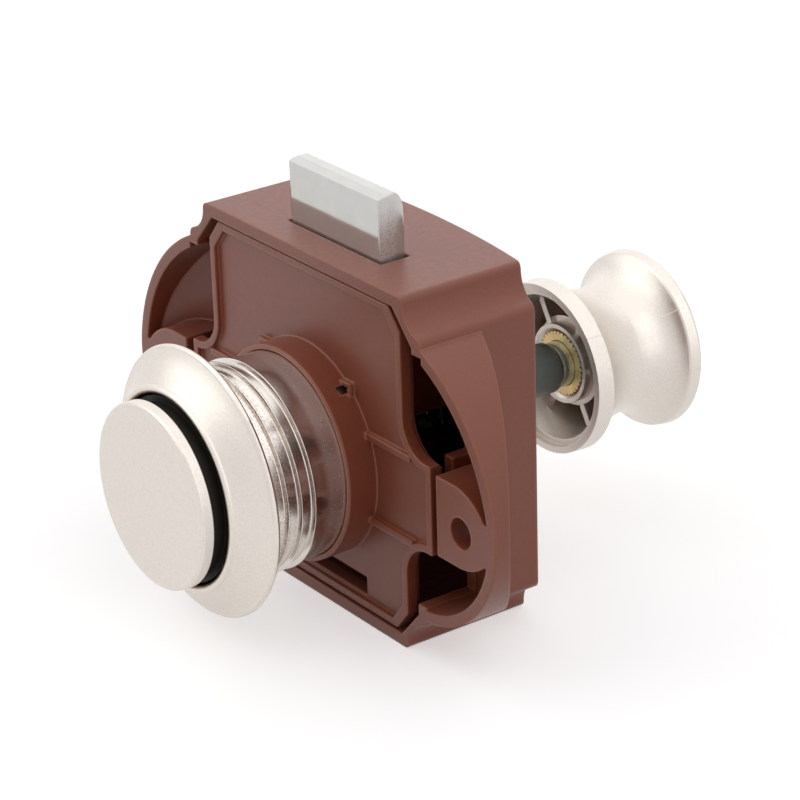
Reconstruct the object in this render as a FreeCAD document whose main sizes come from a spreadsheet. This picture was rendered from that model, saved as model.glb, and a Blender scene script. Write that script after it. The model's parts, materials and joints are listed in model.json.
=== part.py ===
import FreeCAD, Part
import math
import os

import Sketcher

# Pushbutton lock for a cabinet door, in millimetres.
# The origin is on the button's axis, in the plane where the case meets the door.
# +X is to the right as seen from the button, +Y goes into the cabinet, and the
# bolt leaves the case along +Z. The button is out and the bolt is extended.

SHEET = "sizes"

SIZES = [
    # Moulded case
    ("case_top", 25.0),
    ("case_bottom", 18.9),
    ("case_half_width", 23.2),
    ("case_depth", 18.4),
    ("case_wall", 1.5),
    ("back_dome_radius", 123.0),
    ("corner_round", 0.8),
    ("shoulder_inset", 3.2),
    ("shoulder_drop", 5.0),
    ("foot_inset", 3.6),
    ("foot_rise", 5.1),
    ("nose_round", 1.1),
    ("cavity_corner_width", 3.5),
    ("cavity_corner_height", 3.9),
    # Wings of the case, with their pockets and screw ears
    ("wing_reach", 36.4),
    ("wing_tip_height", 0.6),
    ("wing_upper_radius", 22.9),
    ("wing_lower_radius", 14.5),
    ("wing_blend_angle", 11.0),
    ("wing_root_depth", 8.6),
    ("wing_tip_depth", 2.0),
    ("wing_back_radius", 47.0),
    ("wing_wall", 1.4),
    ("wing_floor", 1.2),
    ("pocket_sill", 0.4),
    ("side_notch_depth", 4.2),
    ("side_notch_top", 18.9),
    ("side_notch_bottom", 12.1),
    ("ear_gap", 1.4),
    ("ear_top", 5.5),
    ("ear_bottom", 4.4),
    ("ear_flat", 3.5),
    ("ear_round", 7.0),
    ("ear_neck_back", 2.2),
    ("ear_neck_top", 2.6),
    ("screw_edge", 6.4),
    ("screw_hole_radius", 1.9),
    # Base plate in the mouth of the case
    ("plate_gap", 0.3),
    ("plate_side_gap", 2.5),
    ("plate_corner_width", 2.1),
    ("plate_corner_height", 2.6),
    ("plate_lip_front", 0.2),
    ("plate_field_front", 0.8),
    ("plate_edge_back", 1.6),
    ("plate_back", 2.6),
    ("plate_skirt_end", 3.9),
    ("plate_lip_width", 0.9),
    ("plate_ear_flat", 0.85),
    ("plate_ear_top", 5.9),
    ("plate_ear_bottom", 5.1),
    ("plate_flare", 4.2),
    ("collar_radius", 13.2),
    ("collar_front", 3.1),
    ("rib_width", 0.8),
    ("rib_height_upper", 5.5),
    ("rib_height_lower", 5.1),
    ("rib_overrun", 1.2),
    ("hook_front", 0.1),
    ("window_left", 6.4),
    ("window_right", 8.8),
    ("window_bottom", 6.9),
    ("window_top", 10.5),
    ("window_rim", 0.5),
    ("slot_half_width", 10.4),
    ("slot_top", 13.4),
    ("slot_bottom", 15.7),
    # Threaded sleeve, its ring and the rosette
    ("sleeve_bore_radius", 11.55),
    ("sleeve_radius", 12.9),
    ("sleeve_band_radius", 12.5),
    ("sleeve_gap", 0.12),
    ("sleeve_root_radius", 12.4),
    ("sleeve_front", 16.8),
    ("sleeve_band_front", 5.3),
    ("sleeve_band_fade", 0.6),
    ("sleeve_neck_radius", 12.2),
    ("sleeve_end", 3.6),
    ("thread_pitch", 1.85),
    ("thread_crest_width", 0.2),
    ("thread_base_width", 0.6),
    ("thread_start", 14.93),
    ("thread_end", 7.05),
    ("ring_groove_depth", 0.35),
    ("ring_thickness", 0.6),
    ("ring_outer_radius", 13.6),
    ("ring_gap_half_width", 3.0),
    ("rosette_radius", 16.4),
    ("rosette_back", 14.7),
    ("rosette_rim", 0.8),
    ("rosette_front", 18.8),
    ("rosette_hole_radius", 11.45),
    ("rosette_lip_width", 1.0),
    ("rosette_flare_radius", 8.0),
    ("rosette_bore_radius", 13.05),
    # Button, carrier and spindle
    ("button_radius", 11.23),
    ("button_front", 21.7),
    ("button_thickness", 1.4),
    ("button_edge_round", 0.35),
    ("button_skirt_length", 3.0),
    ("button_skirt_wall", 1.2),
    ("carrier_radius", 11.2),
    ("carrier_nose_radius", 10.5),
    ("carrier_shoulder", 18.3),
    ("carrier_bore_radius", 9.0),
    ("carrier_web", 2.0),
    ("carrier_boss_radius", 4.4),
    ("crossbar_front", 8.2),
    ("crossbar_back", 9.7),
    ("crossbar_half_height", 3.0),
    ("arm_inner", 12.0),
    ("arm_outer", 15.0),
    ("arm_gap", 0.3),
    ("arm_back", 11.5),
    ("arm_half_height", 4.0),
    ("tab_half_width", 3.0),
    ("tab_top", 7.7),
    ("tab_bottom", 9.9),
    ("tab_back", 5.1),
    ("spindle_radius", 3.2),
    ("spindle_neck_radius", 2.5),
    ("spindle_fit", 0.05),
    ("spindle_thread_radius", 2.9),
    ("spindle_shoulder_gap", 1.7),
    ("spindle_end_gap", 0.6),
    ("spindle_chamfer", 0.5),
    ("spindle_nose_length", 1.6),
    ("clip_thickness", 0.6),
    ("clip_outer_radius", 4.2),
    ("clip_groove_radius", 2.0),
    ("clip_mouth_half_width", 1.3),
    ("washer_radius", 5.6),
    ("washer_thickness", 0.5),
    ("bush_radius", 4.6),
    ("bush_flange_radius", 6.4),
    ("bush_flange_thickness", 1.0),
    ("bush_running_gap", 0.08),
    ("back_boss_radius", 7.6),
    ("back_boss_rise", 0.6),
    # Heart-shaped track in the carrier's arm and the pin that follows it
    ("track_depth", 1.2),
    ("track_half_height", 2.3),
    ("track_front", 4.6),
    ("track_back", 10.5),
    ("island_front", 6.5),
    ("island_notch", 7.3),
    ("island_back", 8.7),
    ("island_half_height", 0.9),
    ("pin_wire_radius", 0.5),
    ("pin_arm_x", 16.0),
    ("pin_tip_x", 14.0),
    ("pin_tip_y", 9.7),
    ("pin_tip_drop", 1.6),
    ("pin_pivot_gap", 2.4),
    ("pin_leg_end", 22.2),
    ("pin_hole_gap", 0.06),
    ("pin_boss_radius", 1.7),
    ("pin_boss_face", 17.0),
    ("leaf_thickness", 0.3),
    ("leaf_half_height", 2.1),
    ("leaf_tip_gap", 2.3),
    ("leaf_tip_length", 1.3),
    ("leaf_bend_length", 1.7),
    ("leaf_foot_length", 3.0),
    ("leaf_gap", 0.05),
    # Latch bolt, slide and their springs
    ("bolt_half_width", 8.8),
    ("bolt_shift", 1.1),
    ("bolt_front", 4.5),
    ("bolt_back", 8.1),
    ("bolt_top", 32.9),
    ("bolt_bottom", 14.4),
    ("bolt_bevel_reach", 1.1),
    ("bolt_bevel_drop", 0.4),
    ("bolt_crest", 2.4),
    ("bolt_bevel_foot", 30.3),
    ("bolt_bevel_radius", 3.0),
    ("bolt_end_chamfer", 0.25),
    ("bolt_end_crease", 5.75),
    ("bolt_end_draft", 0.2),
    ("bolt_slot_gap", 0.3),
    ("bolt_side_gap", 0.55),
    ("tongue_half_width", 6.5),
    ("tongue_top", 20.0),
    ("tongue_fit", 0.05),
    ("slide_front", 5.5),
    ("slide_thickness", 1.6),
    ("slide_half_width", 8.3),
    ("slide_neck_half_width", 5.9),
    ("slide_shoulder", 2.0),
    ("slide_bottom", 7.3),
    ("slide_body_gap", 0.2),
    ("window_half_width", 4.7),
    ("slide_window_gap", 0.4),
    ("window_lower_end", 4.8),
    ("bolt_pin_radius", 1.0),
    ("bolt_pin_height", 17.0),
    ("rail_gap", 0.3),
    ("rail_width", 1.2),
    ("rail_bottom", 6.0),
    ("back_rail_inner", 4.4),
    ("back_rail_gap", 0.25),
    ("seat_inner", 11.8),
    ("seat_outer", 17.4),
    ("seat_height", 1.4),
    ("bolt_spring_x", 7.6),
    ("bolt_spring_coil_radius", 1.25),
    ("bolt_spring_wire_radius", 0.3),
    ("bolt_spring_turns", 7.0),
    ("spring_post_radius", 0.8),
    ("spring_post_length", 5.0),
    ("button_spring_coil_radius", 4.85),
    ("button_spring_wire_radius", 0.35),
    ("button_spring_turns", 3.0),
    ("spring_seat_gap", 0.03),
    # Knob and its insert
    ("knob_front", 35.6),
    ("knob_flange_radius", 10.9),
    ("knob_flange_swell", 0.12),
    ("knob_flange_length", 2.5),
    ("knob_flange_round", 0.3),
    ("knob_waist_radius", 8.15),
    ("knob_waist_depth", 9.2),
    ("knob_head_radius", 11.4),
    ("knob_rim_depth", 14.5),
    ("knob_rim_step", 0.2),
    ("knob_length", 16.1),
    ("knob_edge_round", 0.4),
    ("knob_rebate_radius", 10.0),
    ("knob_rebate_depth", 0.8),
    ("knob_recess_radius", 9.3),
    ("knob_recess_depth", 7.6),
    ("knob_recess_floor_radius", 7.0),
    ("knob_hub_radius", 5.1),
    ("knob_hub_depth", 2.5),
    ("knob_hub_step", 0.7),
    ("knob_hub_step_depth", 4.1),
    ("knob_hub_chamfer", 0.5),
    ("knob_spoke_width", 0.9),
    ("knob_spoke_depth", 3.6),
    ("insert_radius", 4.1),
    ("insert_bore_gap", 0.06),
    ("insert_setback", 0.2),
    ("insert_length", 7.4),
    ("insert_bottom_gap", 1.2),
    ("knurl_depth", 0.35),
    ("knurl_width", 0.4),
]

KNURL_TEETH = 36
KNOB_SPOKES = 6
CUT_MARGIN = 1.0


class Size:
    """A size that carries both its value and its formula in the sheet."""

    def __init__(self, formula, value):
        self.formula = formula
        self.value = value

    def __add__(self, other):
        return joined(self, "+", other)

    def __radd__(self, other):
        return joined(other, "+", self)

    def __sub__(self, other):
        return joined(self, "-", other)

    def __rsub__(self, other):
        return joined(other, "-", self)

    def __mul__(self, other):
        return joined(self, "*", other)

    def __rmul__(self, other):
        return joined(other, "*", self)

    def __truediv__(self, other):
        return joined(self, "/", other)

    def __neg__(self):
        return joined(0.0, "-", self)


def as_size(item):
    """Wrap a plain number as a Size."""
    if isinstance(item, Size):
        return item
    return Size("(%r)" % float(item), float(item))


def joined(left, sign, right):
    """Join two sizes by one arithmetic sign."""
    left = as_size(left)
    right = as_size(right)
    values = {
        "+": lambda: left.value + right.value,
        "-": lambda: left.value - right.value,
        "*": lambda: left.value * right.value,
        "/": lambda: left.value / right.value,
    }
    return Size("(%s %s %s)" % (left.formula, sign, right.formula), values[sign]())


def root(item):
    """Square root of a size."""
    return Size("sqrt(%s)" % item.formula, math.sqrt(item.value))


def sine(angle):
    """Sine of a size in degrees."""
    return Size("sin(%s)" % angle.formula, math.sin(math.radians(angle.value)))


def cosine(angle):
    """Cosine of a size in degrees."""
    return Size("cos(%s)" % angle.formula, math.cos(math.radians(angle.value)))


def leg(long_side, short_side):
    """The other leg of a right triangle, from its long side and one leg."""
    return root(long_side * long_side - short_side * short_side)


doc = FreeCAD.newDocument("pushbutton_lock")
sheet = doc.addObject("Spreadsheet::Sheet", SHEET)
for row, (alias, number) in enumerate(SIZES, start=1):
    sheet.set("A%d" % row, alias)
    sheet.set("B%d" % row, str(number))
    sheet.setAlias("B%d" % row, alias)
doc.recompute()


def size(alias):
    """One named size of the sheet."""
    return Size("%s.%s" % (SHEET, alias), float(sheet.get(alias)))


CCW = 1
CW = -1


def arc(radius, turn):
    """How an edge bends on its way to the next point of an outline."""
    return (as_size(radius), turn)


def arc_centre(start, end, radius, turn):
    """Centre of the short arc from start to end that turns the given way."""
    chord_x = end[0] - start[0]
    chord_y = end[1] - start[1]
    chord = math.hypot(chord_x, chord_y)
    rise = math.sqrt(max(radius * radius - chord * chord / 4, 0.0))
    middle_x = (start[0] + end[0]) / 2
    middle_y = (start[1] + end[1]) / 2
    return (middle_x - turn * rise * chord_y / chord, middle_y + turn * rise * chord_x / chord)


def bind(target, name, item):
    """Bind one property of an object to a size."""
    target.setExpression(name, as_size(item).formula)


def draw_loop(sketch, loop):
    """Draw a closed outline. Each item is x, y and how the edge before it bends."""
    points = [(as_size(item[0]), as_size(item[1])) for item in loop]
    bends = [item[2] if len(item) > 2 else None for item in loop]
    count = len(loop)
    ends = []
    for number in range(count):
        following = (number + 1) % count
        start = (points[number][0].value, points[number][1].value)
        end = (points[following][0].value, points[following][1].value)
        bend = bends[following]
        if bend is None:
            line = Part.LineSegment(FreeCAD.Vector(*start, 0), FreeCAD.Vector(*end, 0))
            ends.append((sketch.addGeometry(line, False), 1, 2))
            continue
        radius, turn = bend
        centre = arc_centre(start, end, radius.value, turn)
        first, last = (start, end) if turn == CCW else (end, start)
        circle = Part.Circle(FreeCAD.Vector(*centre, 0), FreeCAD.Vector(0, 0, 1), radius.value)
        angle_first = math.atan2(first[1] - centre[1], first[0] - centre[0])
        angle_last = math.atan2(last[1] - centre[1], last[0] - centre[0])
        edge = sketch.addGeometry(Part.ArcOfCircle(circle, angle_first, angle_last), False)
        ends.append((edge, 1, 2) if turn == CCW else (edge, 2, 1))
        index = sketch.addConstraint(Sketcher.Constraint("Radius", edge, radius.value))
        bind(sketch, "Constraints[%d]" % index, radius)
    for number in range(count):
        edge, start_end, far_end = ends[number]
        following = ends[(number + 1) % count]
        link = Sketcher.Constraint("Coincident", edge, far_end, following[0], following[1])
        sketch.addConstraint(link)
        for kind, item in (("DistanceX", points[number][0]), ("DistanceY", points[number][1])):
            rule = Sketcher.Constraint(kind, -1, 1, edge, start_end, item.value)
            index = sketch.addConstraint(rule)
            bind(sketch, "Constraints[%d]" % index, item)


def draw_circle(sketch, radius, x=0.0, y=0.0):
    """Draw a circle whose radius and centre are bound to sizes."""
    radius = as_size(radius)
    centre = FreeCAD.Vector(as_size(x).value, as_size(y).value, 0)
    circle = Part.Circle(centre, FreeCAD.Vector(0, 0, 1), radius.value)
    edge = sketch.addGeometry(circle, False)
    index = sketch.addConstraint(Sketcher.Constraint("Radius", edge, radius.value))
    bind(sketch, "Constraints[%d]" % index, radius)
    for kind, item in (("DistanceX", as_size(x)), ("DistanceY", as_size(y))):
        index = sketch.addConstraint(Sketcher.Constraint(kind, -1, 1, edge, 3, item.value))
        bind(sketch, "Constraints[%d]" % index, item)


def rectangle(left, bottom, right, top):
    """Outline of a rectangle."""
    return [(left, bottom), (right, bottom), (right, top), (left, top)]


def mirrored_loop(half):
    """Close a right half, listed from its upper to its lower end, with its mirror image."""
    full = list(half)
    for number in range(len(half) - 1, -1, -1):
        after = half[number + 1] if number + 1 < len(half) else None
        bend = after[2] if after is not None and len(after) > 2 else None
        full.append((-as_size(half[number][0]), half[number][1], bend))
    return full


def flipped_loop(loop):
    """Mirror an outline left to right, without changing its edges' order."""
    flipped = []
    for item in loop:
        bend = item[2] if len(item) > 2 else None
        if bend is not None:
            bend = (bend[0], -bend[1])
        flipped.append((-as_size(item[0]), item[1], bend))
    return flipped


# PartDesign bodies

def new_body(label):
    """Start a sub-part as a body."""
    body = doc.addObject("PartDesign::Body", "Body_" + label)
    body.Label = label
    return body


def body_sketch(body, role, offset, loops=(), circles=()):
    """Sketch on one of the body's origin planes, moved along the plane's normal."""
    sketch = body.newObject("Sketcher::SketchObject", "Sketch_" + body.Label)
    plane = [item for item in body.Origin.OriginFeatures if item.Role == role][0]
    sketch.AttachmentSupport = [(plane, "")]
    sketch.MapMode = "FlatFace"
    bind(sketch, "AttachmentOffset.Base.z", offset)
    for loop in loops:
        draw_loop(sketch, loop)
    for circle in circles:
        draw_circle(sketch, *circle)
    return sketch


def xz_sketch(body, y, loops=(), circles=()):
    """Sketch in X and Z at one Y; a pad without reversal grows towards -Y."""
    return body_sketch(body, "XZ_Plane", -as_size(y), loops, circles)


def xy_sketch(body, z, loops=(), circles=()):
    """Sketch in X and Y at one Z; a pad without reversal grows towards +Z."""
    return body_sketch(body, "XY_Plane", z, loops, circles)


def yz_sketch(body, x, loops=(), circles=()):
    """Sketch in Y and Z at one X; a pad without reversal grows towards +X."""
    return body_sketch(body, "YZ_Plane", x, loops, circles)


def grow(body, kind, sketch, length, reverse):
    """Add a pad or a pocket of the sketch."""
    feature = body.newObject(kind, kind.split("::")[1] + "_" + body.Label)
    feature.Profile = sketch
    feature.Reversed = reverse
    bind(feature, "Length", length)
    doc.recompute()
    return feature


def pad_y(body, front, back, loops=(), circles=()):
    """Pad an outline in X and Z from one Y to a larger one."""
    sketch = xz_sketch(body, front, loops, circles)
    return grow(body, "PartDesign::Pad", sketch, as_size(back) - front, True)


def pad_x(body, left, right, loops):
    """Pad an outline in Y and Z from one X to a larger one."""
    sketch = yz_sketch(body, left, loops)
    return grow(body, "PartDesign::Pad", sketch, as_size(right) - left, False)


def pad_z(body, low, high, loops):
    """Pad an outline in X and Y from one Z to a larger one."""
    sketch = xy_sketch(body, low, loops)
    return grow(body, "PartDesign::Pad", sketch, as_size(high) - low, False)


def checked_cut(body, feature, before):
    """Stop if a cut has removed nothing."""
    if before - body.Shape.Volume < 1e-6:
        raise RuntimeError("a cut removes nothing from " + body.Label)
    return feature


def cut_y(body, front, back, loops=(), circles=()):
    """Cut an outline in X and Z from one Y to a larger one."""
    before = body.Shape.Volume
    sketch = xz_sketch(body, front, loops, circles)
    feature = grow(body, "PartDesign::Pocket", sketch, as_size(back) - front, False)
    return checked_cut(body, feature, before)


def cut_x(body, left, right, loops):
    """Cut an outline in Y and Z from one X to a larger one."""
    before = body.Shape.Volume
    sketch = yz_sketch(body, left, loops)
    feature = grow(body, "PartDesign::Pocket", sketch, as_size(right) - left, True)
    return checked_cut(body, feature, before)


def cut_z(body, low, high, loops):
    """Cut an outline in X and Y from one Z to a larger one."""
    before = body.Shape.Volume
    sketch = xy_sketch(body, low, loops)
    feature = grow(body, "PartDesign::Pocket", sketch, as_size(high) - low, True)
    return checked_cut(body, feature, before)


def turn_y(body, loop, kind="PartDesign::Revolution"):
    """Turn an outline, given as radius and Y, about the Y axis."""
    before = body.Shape.Volume if kind == "PartDesign::Groove" else 0.0
    sketch = xy_sketch(body, 0.0, [loop])
    feature = body.newObject(kind, kind.split("::")[1] + "_" + body.Label)
    feature.Profile = sketch
    feature.ReferenceAxis = (sketch, ["V_Axis"])
    feature.Angle = 360.0
    doc.recompute()
    if kind == "PartDesign::Groove":
        checked_cut(body, feature, before)
    return feature


def polar_y(body, feature, axis, copies):
    """Repeat a feature round the Y axis, which is one of its sketch's own axes."""
    pattern = body.newObject("PartDesign::PolarPattern", "Pattern_" + body.Label)
    pattern.Originals = [feature]
    pattern.Axis = (feature.Profile[0], [axis])
    pattern.Angle = 360.0
    pattern.Occurrences = copies
    body.Tip = pattern
    doc.recompute()
    return pattern


# Part extrusions and booleans, for solids that are the common part of two outlines

AXES = {
    "X": (FreeCAD.Rotation(FreeCAD.Vector(1, 1, 1), 120), FreeCAD.Vector(1, 0, 0)),
    "Y": (FreeCAD.Rotation(FreeCAD.Vector(1, 0, 0), 90), FreeCAD.Vector(0, 1, 0)),
    "Z": (FreeCAD.Rotation(), FreeCAD.Vector(0, 0, 1)),
}


def prism(name, axis, start, end, loops=(), circles=()):
    """Extrude outlines along one axis: in X and Z along Y, Y and Z along X, X and Y along Z."""
    rotation, direction = AXES[axis]
    sketch = doc.addObject("Sketcher::SketchObject", "Outline_" + name)
    sketch.Placement = FreeCAD.Placement(FreeCAD.Vector(), rotation)
    bind(sketch, "Placement.Base." + axis.lower(), start)
    for loop in loops:
        draw_loop(sketch, loop)
    for circle in circles:
        draw_circle(sketch, *circle)
    solid = doc.addObject("Part::Extrusion", name)
    solid.Base = sketch
    solid.DirMode = "Custom"
    solid.Dir = direction
    solid.Solid = True
    bind(solid, "LengthFwd", as_size(end) - start)
    return solid


def block(name, low, high):
    """A box from its low corner to its high corner."""
    box = doc.addObject("Part::Box", name)
    names = (("x", "Length"), ("y", "Width"), ("z", "Height"))
    for (axis, length), first, last in zip(names, low, high):
        bind(box, "Placement.Base." + axis, first)
        bind(box, length, as_size(last) - first)
    return box


def rod(name, axis, radius, start, end, across=(0.0, 0.0)):
    """A cylinder along one axis, placed by its other two coordinates in X, Y, Z order."""
    cylinder = doc.addObject("Part::Cylinder", name)
    bind(cylinder, "Radius", radius)
    bind(cylinder, "Height", as_size(end) - start)
    turns = {"X": (FreeCAD.Vector(0, 1, 0), 90), "Y": (FreeCAD.Vector(1, 0, 0), -90)}
    if axis in turns:
        cylinder.Placement = FreeCAD.Placement(FreeCAD.Vector(), FreeCAD.Rotation(*turns[axis]))
    bind(cylinder, "Placement.Base." + axis.lower(), start)
    others = [item for item in "XYZ" if item != axis]
    for other, place in zip(others, across):
        bind(cylinder, "Placement.Base." + other.lower(), place)
    return cylinder


def common(name, first, second):
    """The common part of two solids."""
    result = doc.addObject("Part::Common", name)
    result.Base = first
    result.Tool = second
    return result


def fuse(name, solids):
    """Several solids joined."""
    result = doc.addObject("Part::MultiFuse", name)
    result.Shapes = solids
    return result


def cut(name, solid, tool):
    """One solid less another."""
    result = doc.addObject("Part::Cut", name)
    result.Base = solid
    result.Tool = tool
    return result


# Sizes that several sub-parts share

half_width = size("case_half_width")
wall = size("case_wall")
cavity_top = size("case_top") - wall
cavity_bottom = size("case_bottom") - wall
cavity_side = half_width - wall
plate_top = cavity_top - size("plate_gap")
plate_bottom = cavity_bottom - size("plate_gap")
inner_back = size("case_depth") - wall
back_boss_face = size("case_depth") + size("back_boss_rise")
plate_side = cavity_side - size("plate_side_gap")
plate_reach = plate_side + size("plate_flare") + size("plate_ear_flat")
ear_inner = plate_reach + size("ear_gap")
arm_front = size("sleeve_end") + size("arm_gap")
slide_back = size("slide_front") + size("slide_thickness")
screw_x = size("wing_reach") - size("screw_edge")
bolt_travel = size("bolt_top") - size("case_top")
bolt_left = size("bolt_shift") - size("bolt_half_width")
bolt_right = size("bolt_shift") + size("bolt_half_width")
slot_left = bolt_left - size("bolt_side_gap")
slot_right = bolt_right + size("bolt_side_gap")
pivot_y = inner_back - size("pin_pivot_gap")
insert_front = size("knob_front") + size("knob_hub_depth") + size("insert_setback")
insert_end = insert_front + size("insert_length")
sleeve_seat = size("plate_field_front")
plate_hole_radius = size("sleeve_neck_radius") + size("sleeve_gap")
collar_bore_radius = size("sleeve_band_radius") + size("sleeve_gap")
spring_y = size("slide_front") + size("slide_thickness") / 2


# Case shell

def shoulder(inset, drop, edge):
    """Right-hand ogee from the level edge down to the side wall, for an upright corner."""
    corner = size("corner_round")
    nose = size("nose_round")
    fall = drop - corner
    span = (inset * inset + fall * fall) / (2.0 * inset)
    hollow = span - nose
    hollow_x = half_width - inset + hollow
    hollow_z = edge - corner
    nose_x = half_width - nose
    nose_z = edge - drop
    meet_x = hollow_x + (nose_x - hollow_x) * hollow / span
    meet_z = hollow_z + (nose_z - hollow_z) * hollow / span
    return [
        (half_width - inset - corner, edge),
        (half_width - inset, edge - corner, arc(corner, CW)),
        (meet_x, meet_z, arc(hollow, CCW)),
        (half_width, nose_z, arc(nose, CW)),
    ]


def case_outline():
    """The centre of the case, seen from the door."""
    upper = shoulder(size("shoulder_inset"), size("shoulder_drop"), size("case_top"))
    lower = shoulder(size("foot_inset"), size("foot_rise"), size("case_bottom"))
    half = list(upper)
    for number in range(len(lower) - 1, -1, -1):
        after = lower[number + 1] if number + 1 < len(lower) else None
        bend = after[2] if after is not None else None
        half.append((lower[number][0], -lower[number][1], bend))
    return mirrored_loop(half)


def cavity_outline():
    """The inside of the case, seen from the door."""
    across = size("cavity_corner_width")
    down = size("cavity_corner_height")
    return mirrored_loop([
        (cavity_side - across, cavity_top),
        (cavity_side, cavity_top - down),
        (cavity_side, down - cavity_bottom),
        (cavity_side - across, -cavity_bottom),
    ])


def dome_depth(inset, x):
    """Y of the domed back at one X, or of its inside when inset by the wall."""
    centre = size("case_depth") - size("back_dome_radius")
    return centre + leg(size("back_dome_radius") - inset, x)


def dome_section(inset):
    """Everything in front of the domed back, seen from above."""
    edge = half_width + CUT_MARGIN
    edge_y = dome_depth(inset, edge)
    return [
        (-edge, -CUT_MARGIN),
        (edge, -CUT_MARGIN),
        (edge, edge_y),
        (-edge, edge_y, arc(size("back_dome_radius") - inset, CCW)),
    ]


def wing_outline(inset, root_x):
    """A wing, or its hollow when inset by the wall, seen from the door."""
    upper = size("wing_upper_radius")
    lower = size("wing_lower_radius")
    blend = size("wing_blend_angle")
    lower_x = size("wing_reach") - lower
    lower_z = size("wing_tip_height")
    upper_x = lower_x - (upper - lower) * cosine(blend)
    upper_z = lower_z - (upper - lower) * sine(blend)
    blend_x = lower_x + (lower - inset) * cosine(blend)
    blend_z = lower_z + (lower - inset) * sine(blend)
    return [
        (root_x, upper_z + leg(upper - inset, root_x - upper_x)),
        (blend_x, blend_z, arc(upper - inset, CW)),
        (root_x, lower_z - leg(lower - inset, root_x - lower_x), arc(lower - inset, CW)),
    ]


def wing_section(inset):
    """Everything in front of a wing's back, or of its hollow's floor, seen from above."""
    radius = size("wing_back_radius") - inset
    tip_x = size("wing_reach")
    tip_y = size("wing_tip_depth") - inset
    root_y = size("wing_root_depth") - inset
    return [
        (cavity_side, -CUT_MARGIN),
        (tip_x + CUT_MARGIN, -CUT_MARGIN),
        (tip_x + CUT_MARGIN, tip_y),
        (tip_x, tip_y),
        (half_width, root_y, arc(radius, CCW)),
        (cavity_side, root_y),
    ]


def ear_outline():
    """The screw ear that fills the middle of a wing."""
    neck_x = size("wing_reach") - size("ear_neck_back")
    neck_z = size("ear_neck_top")
    end_x = size("wing_reach") + CUT_MARGIN
    flat = ear_inner + size("ear_flat")
    round_radius = size("ear_round")
    return [
        (ear_inner, size("ear_top")),
        (flat, size("ear_top")),
        (neck_x, neck_z, arc(round_radius, CW)),
        (end_x, neck_z),
        (end_x, -neck_z),
        (neck_x, -neck_z),
        (flat, -size("ear_bottom"), arc(round_radius, CW)),
        (ear_inner, -size("ear_bottom")),
    ]


def make_wing(side, turn):
    """One wing as three solids: its outer form, its hollow and its screw ear."""
    tall = size("case_top")
    low = -size("case_bottom")
    deep = size("wing_root_depth") + CUT_MARGIN
    root_x = half_width - wall / 2
    outer = common(
        "wing_form_" + side,
        prism("wing_front_" + side, "Y", 0.0, deep, [turn(wing_outline(0.0, root_x))]),
        prism("wing_top_" + side, "Z", low, tall, [turn(wing_section(0.0))]))
    hollow = common(
        "wing_hollow_" + side,
        prism("hollow_front_" + side, "Y", -CUT_MARGIN, deep,
              [turn(wing_outline(size("wing_wall"), half_width))]),
        prism("hollow_top_" + side, "Z", low, tall, [turn(wing_section(size("wing_floor")))]))
    ear = common(
        "ear_form_" + side,
        prism("ear_front_" + side, "Y", 0.0, deep, [turn(ear_outline())]), outer)
    return outer, hollow, ear


def side_notches(side, sign):
    """The stretches of side wall that are left out in front, between cavity and wing."""
    inner = cavity_side - CUT_MARGIN
    outer = half_width + CUT_MARGIN / 4
    low_x, high_x = (inner, outer) if sign > 0 else (-outer, -inner)
    top = size("side_notch_top")
    bottom = -size("side_notch_bottom")
    pocket = size("wing_root_depth") - size("wing_floor") - size("pocket_sill")
    spans = {
        "whole": (bottom, top, size("side_notch_depth")),
        "upper": (size("ear_top"), top, pocket),
        "lower": (bottom, -size("ear_bottom"), pocket),
    }
    return [
        block("notch_%s_%s" % (name, side), (low_x, -CUT_MARGIN, low), (high_x, depth, high))
        for name, (low, high, depth) in spans.items()
    ]


def make_case_shell():
    """Moulded case with domed back, ogee shoulders, wings, pockets and inner guides."""
    tall = size("case_top")
    low = -size("case_bottom")
    deep = size("case_depth") + CUT_MARGIN
    centre = common(
        "case_form",
        prism("case_front", "Y", 0.0, deep, [case_outline()]),
        prism("case_above", "Z", low, tall, [dome_section(0.0)]))
    cavity = common(
        "cavity_form",
        prism("cavity_front", "Y", -CUT_MARGIN, deep, [cavity_outline()]),
        prism("cavity_above", "Z", low, tall, [dome_section(wall)]))
    right = make_wing("right", list)
    left = make_wing("left", flipped_loop)
    back_boss = rod("back_boss", "Y", size("back_boss_radius"), inner_back + wall / 2,
                    back_boss_face)
    outer = fuse("case_outer", [centre, right[0], left[0], back_boss])
    hollows = fuse("case_hollows", [cavity, right[1], left[1]]
                   + side_notches("right", 1) + side_notches("left", -1))
    hollow_case = cut("case_hollowed", outer, hollows)
    added = [hollow_case, right[2], left[2]] + inner_guides()
    solid = fuse("case_with_guides", added)
    gap = size("bolt_slot_gap")
    slot = block(
        "bolt_slot",
        (slot_left, size("bolt_front") - gap, cavity_top - size("seat_height")),
        (slot_right, size("bolt_back") + gap, tall + CUT_MARGIN))
    holes = [slot]
    for side, sign in (("right", 1.0), ("left", -1.0)):
        holes.append(rod("screw_hole_" + side, "Y", size("screw_hole_radius"), -CUT_MARGIN, deep,
                         (sign * screw_x, 0.0)))
    holes.append(rod("bush_hole", "Y", size("bush_radius"), inner_back - CUT_MARGIN,
                     back_boss_face + CUT_MARGIN))
    holes.append(rod("pivot_hole", "X", size("pin_wire_radius") + size("pin_hole_gap"),
                     size("pin_boss_face") - CUT_MARGIN, size("pin_leg_end") + size("pin_hole_gap"),
                     (pivot_y, 0.0)))
    shell = cut("case_shell", solid, fuse("case_holes", holes))
    shell.Label = "case_shell"
    return shell


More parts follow.
